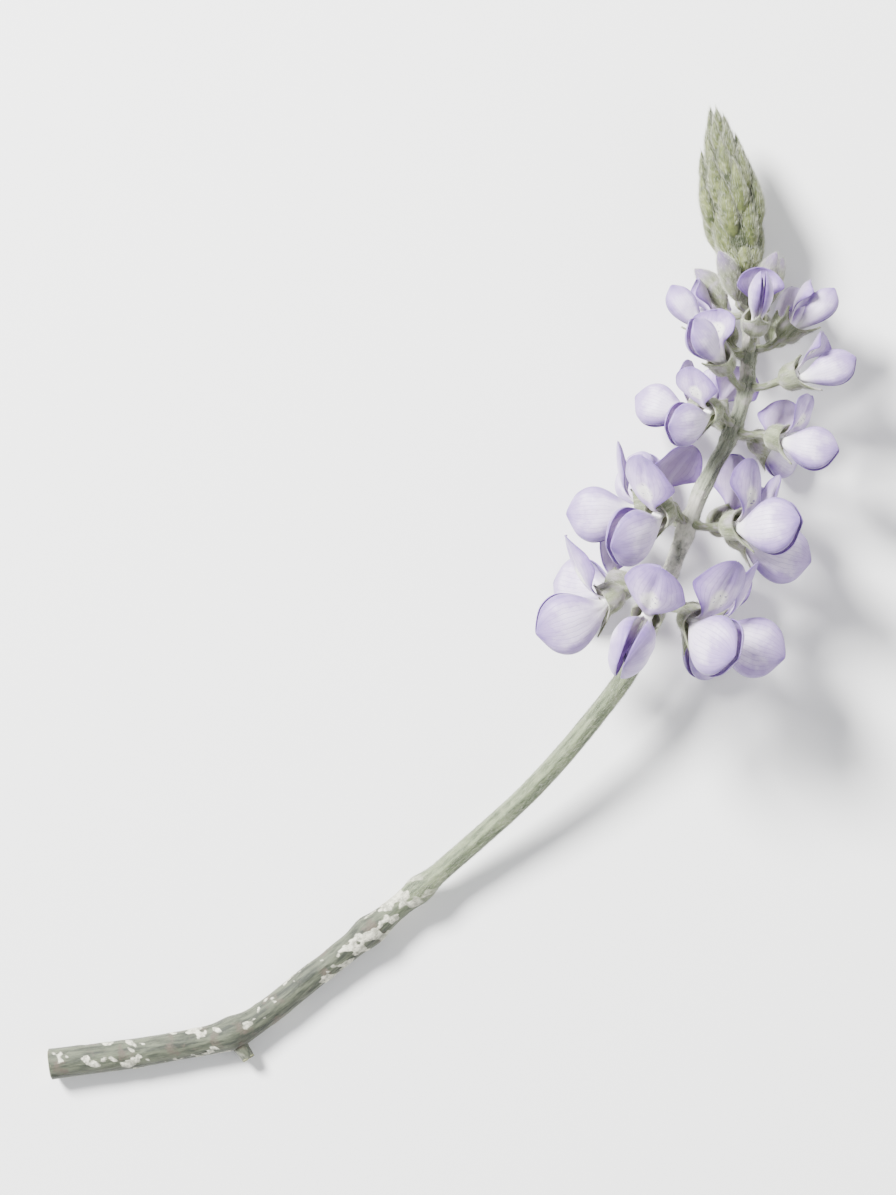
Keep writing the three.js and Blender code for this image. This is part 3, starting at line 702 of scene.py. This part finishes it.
def make_closed_bud(flower, name):
    """A closed bud: a plump bent almond on its stalk, with a ridge down its back.

    Its height is 2.6 and its half width 2.3 times the sine of pi t to the power of 0.75, and its
    middle line bends by a low sine. The seam between the lips is a shallow groove at its sides.
    """
    LENGTH = 12.5
    FELT, HAIR = 0, 1
    shell = Shell()
    angle = turns(32)
    stalk_radius = np.full(8, BLOOM_STALK_RADIUS / flower.size)
    stalk = stalk_rings(flower, np.linspace(0, 0.9, 8), angle, stalk_radius)
    t = steps(0.03, 0.997, 34)
    swell = np.sin(np.pi * t) ** 0.75
    ridge = 1 + 0.12 * np.maximum(0, np.sin(angle)) ** 4
    seam = 1 - 0.09 * hump(np.sin(angle) + 0.15, 0.12) * smooth(t, 0.2, 0.5)
    height = 1.2 * np.sin(2.8 * t) + 2.6 * swell * ridge * seam * np.sin(angle)
    body = join(-2.3 * swell * seam * np.cos(angle), LENGTH * t, height)
    rings = flower.put(np.concatenate([stalk, body]))
    share = np.concatenate([np.zeros((8, 1)), t])
    grain = join(2 * np.cos(angle), 2 * np.sin(angle), 12 * share + 7.0 * flower.seed)
    add_skin(shell, rings, FELT, join(share, np.sin(angle), 0.0), grain)
    add_hairs(shell, rings, HAIR, np.random.default_rng(900 + flower.seed),
              count=900, length=0.75, lean=0.36, width=0.032)
    dress(shell.build(f"{name}_felt", [BUD_FELT, SILKY_HAIR]), name)


# ---- the place of a flower on the stem ----

def stand(flower, tilt):
    """Puts a flower on the stem at a tilt: gives it put, from its own frame to the plant's."""
    centre, along, up, side = stem_frame(flower.distance)
    outwards = swing(side, up, flower.angle)
    reach = stem_radius(flower.distance) + seat_swelling(flower.distance, flower.angle) + SEAT_GAP
    start = centre + outwards * reach
    foot = start + flower.stalk * swing(outwards, along, flower.rise)
    forwards = swing(outwards, along, tilt)
    banner = swing(along, -outwards, tilt)
    banner = swing(banner, np.cross(forwards, banner), flower.roll)
    basis = np.stack([np.cross(forwards, banner), forwards, banner]) * flower.size
    flower.raw = lambda points: points @ basis + foot
    flower.put = lambda points: above_surface(flower.raw(points))
    line = np.stack([start - 0.7 * outwards, start + 0.35 * flower.stalk * outwards,
                     foot - 0.4 * flower.stalk * forwards, foot])
    flower.stalk_points = (line - foot) @ np.linalg.inv(basis)


def settle(flower):
    """Bends a bloom along the stem in small steps, until its petals reach no deeper than allowed.

    The petals are those of the solids, without grooves, frills or folds.
    """
    DEEPEST = -0.4
    MOST_BEND, BEND_STEP = 80, 0.25
    u, v = np.meshgrid([0.6, 0.8, 1.0], [-1, -0.7, 0, 0.7, 1.0], indexing="ij")
    _, x, forwards = banner_curl(flower, u, v, 0.12)
    petals = [join(x, *banner_line(flower.open, u, forwards))]
    petals += [wing_shape(flower, side, u, v, v, 0.42, 0.0)[0] for side in (1, -1)]
    petals = np.concatenate(petals).reshape(-1, 3)
    turn = -1 if flower.tilt < 0 else 1
    for bend in np.arange(0, MOST_BEND, BEND_STEP):
        stand(flower, flower.tilt + turn * math.radians(bend))
        if flower.raw(petals)[:, 2].min() - SOLID_BLADE / 2 > DEEPEST:
            return


# ---- the cone of closed buds ----

def make_cone():
    """The cone: silky buds round a core, each a golden angle on from the one below.

    A bud is a flattened almond: its half width is the sine of pi s^0.72 to the power of 0.9. Its
    middle line leaves the core at its lean and bends back, by s - 0.7 s^2, until its tip lies
    against the bud above. A last ring of short buds closes the foot of the cone.
    """
    GOLDEN = math.pi * (3 - math.sqrt(5))
    FOOT_BUDS = 9
    FELT, HAIR = 0, 1
    shell = Shell()
    random = np.random.default_rng(41)
    end, end_along, _, _ = stem_frame(STEM_LENGTH)
    base = end + end_along * SEAT_GAP
    length = np.linalg.norm(CONE_TIP - base)
    along = (CONE_TIP - base) / length
    up = unit(np.array([0, 0, 1.0]) - along * along[2])
    side = np.cross(along, up)
    angle = turns(14)
    s = steps(0, 1, 16)

    def core_radius(t):
        return 0.4 * CONE_WIDTH * np.sin(np.pi * mix(0.2, 1, t)) ** 0.8

    def add_bud(number, reach, root_radius, lean, bud_length, half_width, hair_count):
        out = swing(side, up, GOLDEN * number)
        across = unit(np.cross(along, out))
        advance = bud_length * math.cos(0.6 * lean) * s
        lift = bud_length * math.sin(lean) * (s - 0.7 * s * s)
        lift_slope = math.sin(lean) * bud_length * (1 - 1.4 * s)
        slope = unit(np.concatenate([advance / s.clip(0.01), lift_slope], 1))
        top = slope[:, :1] * out - slope[:, 1:] * along
        root = base + reach * length * along + root_radius * out
        middle = root + advance * along + lift * out
        swell = np.sin(np.pi * np.minimum(s, 0.999) ** 0.72) ** 0.9
        swell = np.maximum(swell, 0.03) * half_width
        height = 0.72 * (1 + 0.14 * np.maximum(0, np.cos(angle)) ** 6) * np.cos(angle)
        section = height[..., None] * top[:, None] + np.sin(angle)[..., None] * across
        rings = middle[:, None] + swell[..., None] * section
        grain = join(swell * np.sin(angle), bud_length * s, 5.0 * number)
        add_skin(shell, rings, FELT, join(s, np.cos(angle), 0.0), grain)
        add_hairs(shell, rings[3:], HAIR, random,
                  count=hair_count, length=1.05, lean=0.3, width=0.035)

    t = steps(0, 1, 20)
    slim = mix(0.72, 1, smooth(t, 0, 0.2)) * mix(0.82, 1, smooth(t, 0.35, 0.75))
    radius = np.maximum(core_radius(np.minimum(t, 0.999)) * slim, 0.3)
    radius[0] = TIP_RADIUS
    core = base + 0.9 * length * t[..., None] * along + radius[..., None] * ring(angle, side, up)
    add_skin(shell, core, FELT, np.array([0.1, 0, 0]), core)
    add_hairs(shell, core[:10], HAIR, random, count=2600, length=1.0, lean=0.3, width=0.035)
    for number in range(CONE_BUDS):
        share = (number + 0.5) / CONE_BUDS
        reach = 0.02 + 0.8 * share ** 0.9
        root = mix(0.6, 1, smooth(share, 0, 0.3)) * mix(0.95, 0.25, share) * core_radius(reach)
        add_bud(number, reach, root, math.radians(mix(16, 3, share)),
                mix(10.6, 4.8, share), mix(1.6, 0.75, share), int(mix(760, 380, share)))
    for number in range(FOOT_BUDS):
        turn = number * 2 * math.pi / FOOT_BUDS / GOLDEN
        reach = -0.015 + 0.012 * (number % 2)
        add_bud(turn, reach, 0.7, math.radians(40), 7.4, 1.3, 700)
    dress(shell.build("bud_cone_felt", [CONE_FELT, CONE_HAIR]), "bud_cone")


# ---- materials ----

def linear(code):
    """The linear colour of an sRGB hex code."""
    channels = [int(code[k:k + 2], 16) / 255 for k in (1, 3, 5)]
    curve = [c / 12.92 if c <= 0.04045 else ((c + 0.055) / 1.055) ** 2.4 for c in channels]
    return tuple(curve) + (1.0,)


def set_input(socket, value):
    socket.default_value = linear(value) if isinstance(value, str) else value


# What a node is added for: its type, its settings, the inputs that its values go to, its output.
NODE_USES = {
    "carried": ("ShaderNodeAttribute", {}, (), "Vector"),
    "split": ("ShaderNodeSeparateXYZ", {}, (0,), None),
    "point": ("ShaderNodeCombineXYZ", {}, (0, 1), 0),
    "stretch": ("ShaderNodeVectorMath", {"operation": "MULTIPLY"}, (0, 1), 0),
    "noise": ("ShaderNodeTexNoise", {}, ("Vector", "Scale", "Detail", "Roughness"), 0),
    "rise": ("ShaderNodeMapRange", {"interpolation_type": "SMOOTHSTEP"},
             ("Value", "From Min", "From Max"), 0),
    "blend": ("ShaderNodeMix", {"data_type": "RGBA"}, (0, 6, 7), 2),
    "bump": ("ShaderNodeBump", {}, ("Height", "Distance", "Strength"), 0),
}


def node(tree, use, *values, **settings):
    """Adds a node, sets each of its inputs or links it to a socket, and gives its output.

    A use that isn't in the table is an operation of a maths node.
    """
    maths = ("ShaderNodeMath", {"operation": use}, (0, 1), 0)
    kind, fixed, inputs, output = NODE_USES.get(use, maths)
    made = tree.nodes.new(kind)
    for key, value in {**fixed, **settings}.items():
        setattr(made, key, value)
    for key, value in zip(inputs, values):
        if isinstance(value, bpy.types.NodeSocket):
            tree.links.new(value, made.inputs[key])
        else:
            set_input(made.inputs[key], value)
    return made.outputs if output is None else made.outputs[output]


def new_material(name, **constants):
    """A material, its Principled shader with constants set on its sockets, and its node adder."""
    material = bpy.data.materials.new(name)
    material.use_nodes = True
    shader = material.node_tree.nodes["Principled BSDF"]
    for key, value in constants.items():
        set_input(shader.inputs[key.replace("_", " ").title().replace("Ior", "IOR")], value)
    return material, shader, partial(node, material.node_tree)


def marks(add):
    """The shares (along, across, face) and the lengths in millimetres that the mesh carries.

    The scales of noise are therefore repeats to a millimetre.
    """
    place = add("carried", attribute_name="place")
    grain = add("carried", attribute_name="grain")
    return add("split", place), grain


def cover(shader, colour, relief, depth, strength):
    """Gives a shader its colour, and raises its shading by relief times a depth in millimetres."""
    tree = shader.id_data
    tree.links.new(colour, shader.inputs["Base Color"])
    raised = node(tree, "bump", relief, depth * METRES, strength)
    tree.links.new(raised, shader.inputs["Normal"])


def petal_finish(name, claw, heart, blade, margin, vein, back=None, patch=None, tip=None):
    """Petal tissue: a satin skin over moist cells, so light goes in and comes out softened.

    The colour deepens from a pale heart to the margin. Veins leave the claw as a fan, 0.5 to
    0.8 mm apart in the middle of the petal, and are a little sunk.
    """
    material, shader, add = new_material(
        name, roughness=0.42, subsurface_weight=0.22, subsurface_scale=0.0009,
        subsurface_radius=(0.9, 0.7, 1.0), sheen_weight=0.18, sheen_roughness=0.5, ior=1.4)
    (along, across, face), grain = marks(add)
    wander = add("noise", grain, 0.55, 4.0, 0.6)
    side = add("ABSOLUTE", across)
    edge = add("MAXIMUM", add("POWER", side, 2.6), add("POWER", along, 5.0))
    edge = add("ADD", edge, add("MULTIPLY", add("SUBTRACT", wander, 0.5), 0.9))
    colour = add("blend", add("rise", edge, 0.0, 0.55), heart, blade)
    colour = add("blend", add("rise", edge, 0.5, 1.1), colour, margin)
    fan = add("ADD", add("MULTIPLY", across, 19.0), add("MULTIPLY", wander, 3.0))
    line = add("ABSOLUTE", add("SINE", fan))
    veins = add("SUBTRACT", 1.0, add("rise", line, 0.0, 0.42))
    faint = add("MULTIPLY", veins, add("MULTIPLY", add("rise", along, 0.25, 0.6), 0.32))
    colour = add("blend", faint, colour, vein)
    if patch:
        # An oval on the face of the banner, flecked with the colour of its veins.
        HALF_WIDTH, HALF_LENGTH, MIDDLE = 0.42, 0.17, 0.56
        beside = add("POWER", add("DIVIDE", across, HALF_WIDTH), 2.0)
        height = add("POWER", add("DIVIDE", add("SUBTRACT", along, MIDDLE), HALF_LENGTH), 2.0)
        spread = add("ADD", add("ADD", beside, height), add("MULTIPLY", wander, 0.6))
        inside = add("SUBTRACT", 1.0, add("rise", spread, 0.5, 1.3))
        inside = add("MULTIPLY", inside, face)
        colour = add("blend", inside, colour, patch)
        fleck = add("rise", add("noise", grain, 2.6, 1.0), 0.62, 0.68)
        fleck = add("MULTIPLY", add("MULTIPLY", fleck, inside), 0.8)
        colour = add("blend", fleck, colour, vein)
    if tip:
        colour = add("blend", add("rise", along, 0.7, 0.95), colour, tip)
    if back:
        behind = add("SUBTRACT", 1.0, face)
        silver = add("MULTIPLY", behind, add("SUBTRACT", 1.0, add("rise", side, 0.3, 0.9)))
        colour = add("blend", add("MULTIPLY", silver, 0.6), colour, back)
    colour = add("blend", add("SUBTRACT", 1.0, add("rise", along, 0.12, 0.42)), colour, claw)
    cells = add("noise", grain, 7.0, 2.0)
    relief = add("ADD", add("MULTIPLY", veins, -0.6), add("MULTIPLY", cells, 0.5))
    cover(shader, colour, relief, depth=0.05, strength=0.6)
    return material


def felt_finish(name, skin, shade, bloom, tip=None, side=None):
    """Leafy tissue under a coat of silky hairs: matt, and paler wherever it is seen at a slant.

    Its tip may have a colour of its own, and its sides below the ridge a painted shade, as dark as
    in the furrows where buds press together.
    """
    material, shader, add = new_material(
        name, roughness=0.7, sheen_weight=0.6, sheen_roughness=0.45, sheen_tint="#f3f2e2",
        subsurface_weight=0.08, subsurface_scale=0.0006, subsurface_radius=(0.8, 1.0, 0.5), ior=1.4)
    (along, across, _), grain = marks(add)
    stretched = add("stretch", grain, (1.0, 1.0, 0.3))
    streak = add("noise", stretched, 1.6, 4.0, 0.6)
    colour = add("blend", add("rise", streak, 0.3, 0.62), shade, skin)
    bloomy = add("MULTIPLY", add("rise", add("noise", grain, 0.5, 2.0), 0.45, 0.7), 0.7)
    colour = add("blend", bloomy, colour, bloom)
    # Painted shade: below each bud's ridge the colour turns to side, the shade down in the gaps
    # between buds.
    if side:
        ridge = add("rise", add("ADD", across, add("MULTIPLY", streak, 0.9)), 0.2, 1.45)
        colour = add("blend", ridge, side, colour)
    if tip:
        colour = add("blend", add("rise", along, 0.55, 0.95), colour, tip)
    cover(shader, colour, add("noise", stretched, 6.0, 3.0), depth=0.08, strength=0.7)
    return material


def stem_finish():
    """The stem: grey bark that flakes white, then a silky green stalk, then a paler rachis.

    The rachis is flushed with purple, and cream around the seats of the lowest blooms.
    """
    material, shader, add = new_material(
        "bark_and_silky_stalk", roughness=0.68, sheen_weight=0.25, sheen_roughness=0.5,
        sheen_tint="#f1f1e6", ior=1.45)
    # Shares of the stem's length over which one colour gives way to the next.
    BARK_TO_STALK, STALK_TO_RACHIS = (0.31, 0.4), (0.68, 0.8)
    CREAM_STARTS, CREAM_ENDS = (0.655, 0.7), (0.75, 0.82)
    (along, _, flake), grain = marks(add)
    stretched = add("stretch", grain, (1.0, 1.0, 0.16))
    streak = add("noise", stretched, 1.5, 5.0, 0.6)
    patches = add("noise", grain, 0.32, 4.0, 0.65)
    bark = add("blend", add("rise", streak, 0.35, 0.65), "#282d23", "#555a48")
    bark = add("blend", add("rise", patches, 0.52, 0.66), bark, "#4e473c")
    speckle = add("rise", add("noise", grain, 1.4, 5.0, 0.7), 0.4, 0.6)
    flakes = add("blend", speckle, "#8b8b7c", "#cbc9b6")
    stalk = add("blend", add("rise", streak, 0.36, 0.62), "#47523a", "#757f60")
    stalk = add("blend", add("rise", patches, 0.5, 0.8), stalk, "#8e9577")
    rachis = add("blend", add("rise", streak, 0.36, 0.64), "#5b6051", "#878c78")
    rachis = add("blend", add("rise", patches, 0.48, 0.66), rachis, "#a09a94")
    seats = add("SUBTRACT", add("rise", along, *CREAM_STARTS), add("rise", along, *CREAM_ENDS))
    cream = add("MULTIPLY", seats, add("rise", patches, 0.3, 0.56))
    colour = add("blend", add("rise", along, *BARK_TO_STALK), bark, stalk)
    colour = add("blend", add("rise", flake, 0.2, 0.8), colour, flakes)
    colour = add("blend", add("rise", along, *STALK_TO_RACHIS), colour, rachis)
    colour = add("blend", cream, colour, "#e2e1d0")
    fibres = add("noise", stretched, 5.0, 4.0)
    relief = add("ADD", fibres, add("MULTIPLY", add("noise", grain, 3.0, 4.0), 0.6))
    cover(shader, colour, relief, depth=0.12, strength=0.8)
    return material


def cut_wood_finish():
    """Freshly cut twig: a dark line of bark, pale wood with fine rays and a spongy cream pith."""
    material, shader, add = new_material("cut_wood_and_pith", roughness=0.75, ior=1.45)
    (along, turn, _), grain = marks(add)
    rays = add("noise", add("point", add("MULTIPLY", turn, 60.0), along), 1.0, 2.0)
    wood = add("blend", rays, "#c9c294", "#ddd8b4")
    colour = add("blend", add("rise", along, 0.22, 0.3), "#efe9d2", wood)
    colour = add("blend", add("rise", along, 0.86, 0.95), colour, "#77795c")
    cover(shader, colour, add("noise", grain, 4.0, 3.0), depth=0.08, strength=0.6)
    return material


def hair_finish(name, root, dull, bright):
    """Silky hairs: clear cell walls that read as silver in the light, darker and greener towards the
    root, partly the skin showing through and partly painted shade deep in the coat.
    """
    material, shader, add = new_material(
        name, roughness=0.4, sheen_weight=0.3, sheen_roughness=0.4, ior=1.5)
    (out, shade, _), _ = marks(add)
    silver = add("blend", shade, dull, bright)
    # Partly painted shade: each hair darkens towards its root colour, deep in the coat of hairs.
    colour = add("blend", add("rise", out, 0.0, 0.8), root, silver)
    material.node_tree.links.new(colour, shader.inputs["Base Color"])
    return material


STEM_FINISH = stem_finish()
CUT_WOOD = cut_wood_finish()
# Each root colour is partly the green skin under the hairs and partly painted shade deep in the
# coat.
SILKY_HAIR = hair_finish("silky_hair", root="#8d9277", dull="#b5b9a2", bright="#e2e3d5")
CONE_HAIR = hair_finish("silky_cone_hair", root="#4a542d", dull="#878f60", bright="#f0f1de")
BANNER_PETAL = petal_finish(
    "banner_petal", claw="#ece7e1", heart="#c2afd4", blade="#957db4", margin="#6a528f",
    vein="#5f4883", back="#a396b0", patch="#f7f3ea")
WING_PETAL = petal_finish(
    "wing_petal", claw="#f4f0ef", heart="#d8cce4", blade="#a28cbe", margin="#765e9c",
    vein="#6c5493")
KEEL_PETAL = petal_finish(
    "keel_petal", claw="#efeaea", heart="#cdbfd8", blade="#a892be", margin="#7f68a2",
    vein="#6f5894", tip="#3c2b50")
CALYX_FELT = felt_finish("silvery_calyx", skin="#868c70", shade="#5c6347", bloom="#a0979f")
BUD_FELT = felt_finish(
    "silvery_bud", skin="#83876f", shade="#5f644d", bloom="#958b98", tip="#7b6b8c")
# side is a painted shade for the gaps between the cone's buds.
CONE_FELT = felt_finish(
    "olive_cone_bud", skin="#565f2e", shade="#2e3818", bloom="#7f8651", side="#1f280f")


# ---- assembly ----

def dress(piece, cad_node):
    """Puts a finished piece in the place of a node of the solids, on the part's one body."""
    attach(piece, "root")
    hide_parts(cad_node)


make_stem()
make_cone()
for flower in FLOWERS:
    settle(flower)
    label = f"{flower.kind}_{flower.number:02d}"
    if flower.kind == "closed_bud":
        make_closed_bud(flower, label)
    else:
        make_calyx(flower, label)
        make_petals(flower, label)


# ---- the pale surface, the light and the camera, in metres ----

def make_surface():
    """A wide flat card of matt white board under the spike, which takes soft shadows."""
    HALF = 3.0
    corners = [(-HALF, -HALF, 0), (HALF, -HALF, 0), (HALF, HALF, 0), (-HALF, HALF, 0)]
    mesh = bpy.data.meshes.new("pale_card")
    mesh.from_pydata(corners, [], [(0, 1, 2, 3)])
    mesh.materials.append(new_material("matt_white_card", roughness=0.9, base_color="#f4f4f2")[0])
    card = new_object("pale_card", mesh)


def aim(thing, place, target):
    """Puts a camera or lamp at a place, its -Z axis towards the target and +Y of the picture up."""
    back = unit(np.array(place, float) - np.array(target, float))
    right = unit(np.cross([0, 1.0, 0], back))
    matrix = np.eye(4)
    matrix[:3, :3] = np.stack([right, np.cross(back, right), back], 1)
    matrix[:3, 3] = place
    thing.matrix_world = Matrix(matrix.tolist())


def add_light(name, place, size, power):
    """A round lamp of a size in metres and a power in watts, aimed at the middle of the spike."""
    light = bpy.data.lights.new(name, "AREA")
    light.shape = "DISK"
    light.size = size
    light.energy = power
    aim(new_object(name, light), place, (0, 0, 0))


def add_sky():
    """An even, faintly blue light from all round."""
    world = bpy.data.worlds.new("studio")
    world.use_nodes = True
    background = world.node_tree.nodes["Background"]
    set_input(background.inputs["Color"], "#f7f9ff")
    set_input(background.inputs["Strength"], 0.68)
    bpy.context.scene.world = world


def add_camera():
    """A long lens straight above, as high as the height of the picture asks for."""
    FRAME_HEIGHT = 0.172
    MIDDLE_HEIGHT = 0.011  # of the blooms over the surface
    lens = bpy.data.cameras.new("camera")
    lens.lens = 100.0
    lens.sensor_width = 36.0
    camera = new_object("camera", lens)
    distance = FRAME_HEIGHT * lens.lens / lens.sensor_width
    aim(camera, (0.0, 0.0, distance + MIDDLE_HEIGHT), (0.0, 0.0, MIDDLE_HEIGHT))
    bpy.context.scene.camera = camera


make_surface()
add_light("key", (-0.6, 0.55, 0.75), 0.35, 62.0)
add_light("fill", (0.7, -0.3, 0.7), 0.8, 4.5)
add_sky()
add_camera()
